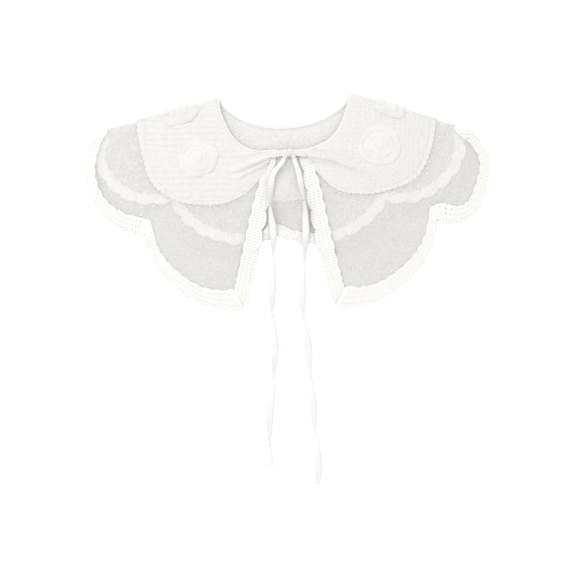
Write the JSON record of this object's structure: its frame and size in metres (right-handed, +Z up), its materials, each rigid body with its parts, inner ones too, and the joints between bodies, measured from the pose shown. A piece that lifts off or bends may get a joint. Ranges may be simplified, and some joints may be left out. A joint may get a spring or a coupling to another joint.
{
  "type": "lace collar",
  "caption": "White detachable two-tier collar with a puckered cotton upper tier, a sheer scalloped lower tier with lace edging, rosettes and ribbon ties, laid flat.",
  "frame": {"origin": "bottom centre of the collar's box without its ties, on the surface that it lies on", "axes": "+Z up from the surface, +Y from the hem's front corners towards the back of the neck, +X to the wearer's left"},
  "size_m": [0.5022, 0.4841, 0.018],
  "materials": {
    "puckered_cotton": "matte",
    "dotted_sheer": "matte",
    "cotton_lace": "matte",
    "ribbon": "satin"
  },
  "bodies": {
    "root": {"upper_collar": "puckered_cotton", "upper_picot_edging": "cotton_lace", "lower_collar": "dotted_sheer", "hem_lace": "cotton_lace", "front_lace_left": "cotton_lace", "front_lace_right": "cotton_lace", "neck_binding": "puckered_cotton", "rosette_left_outer_ruffle": "puckered_cotton", "rosette_left_inner_ruffle": "puckered_cotton", "rosette_left_bud": "puckered_cotton", "rosette_right_outer_ruffle": "puckered_cotton", "rosette_right_inner_ruffle": "puckered_cotton", "rosette_right_bud": "puckered_cotton", "shoulder_rosette_left": "puckered_cotton", "shoulder_rosette_right": "puckered_cotton", "tie_knot": "ribbon", "tie_left": "ribbon", "tie_right": "ribbon"}
  },
  "joints": []
}
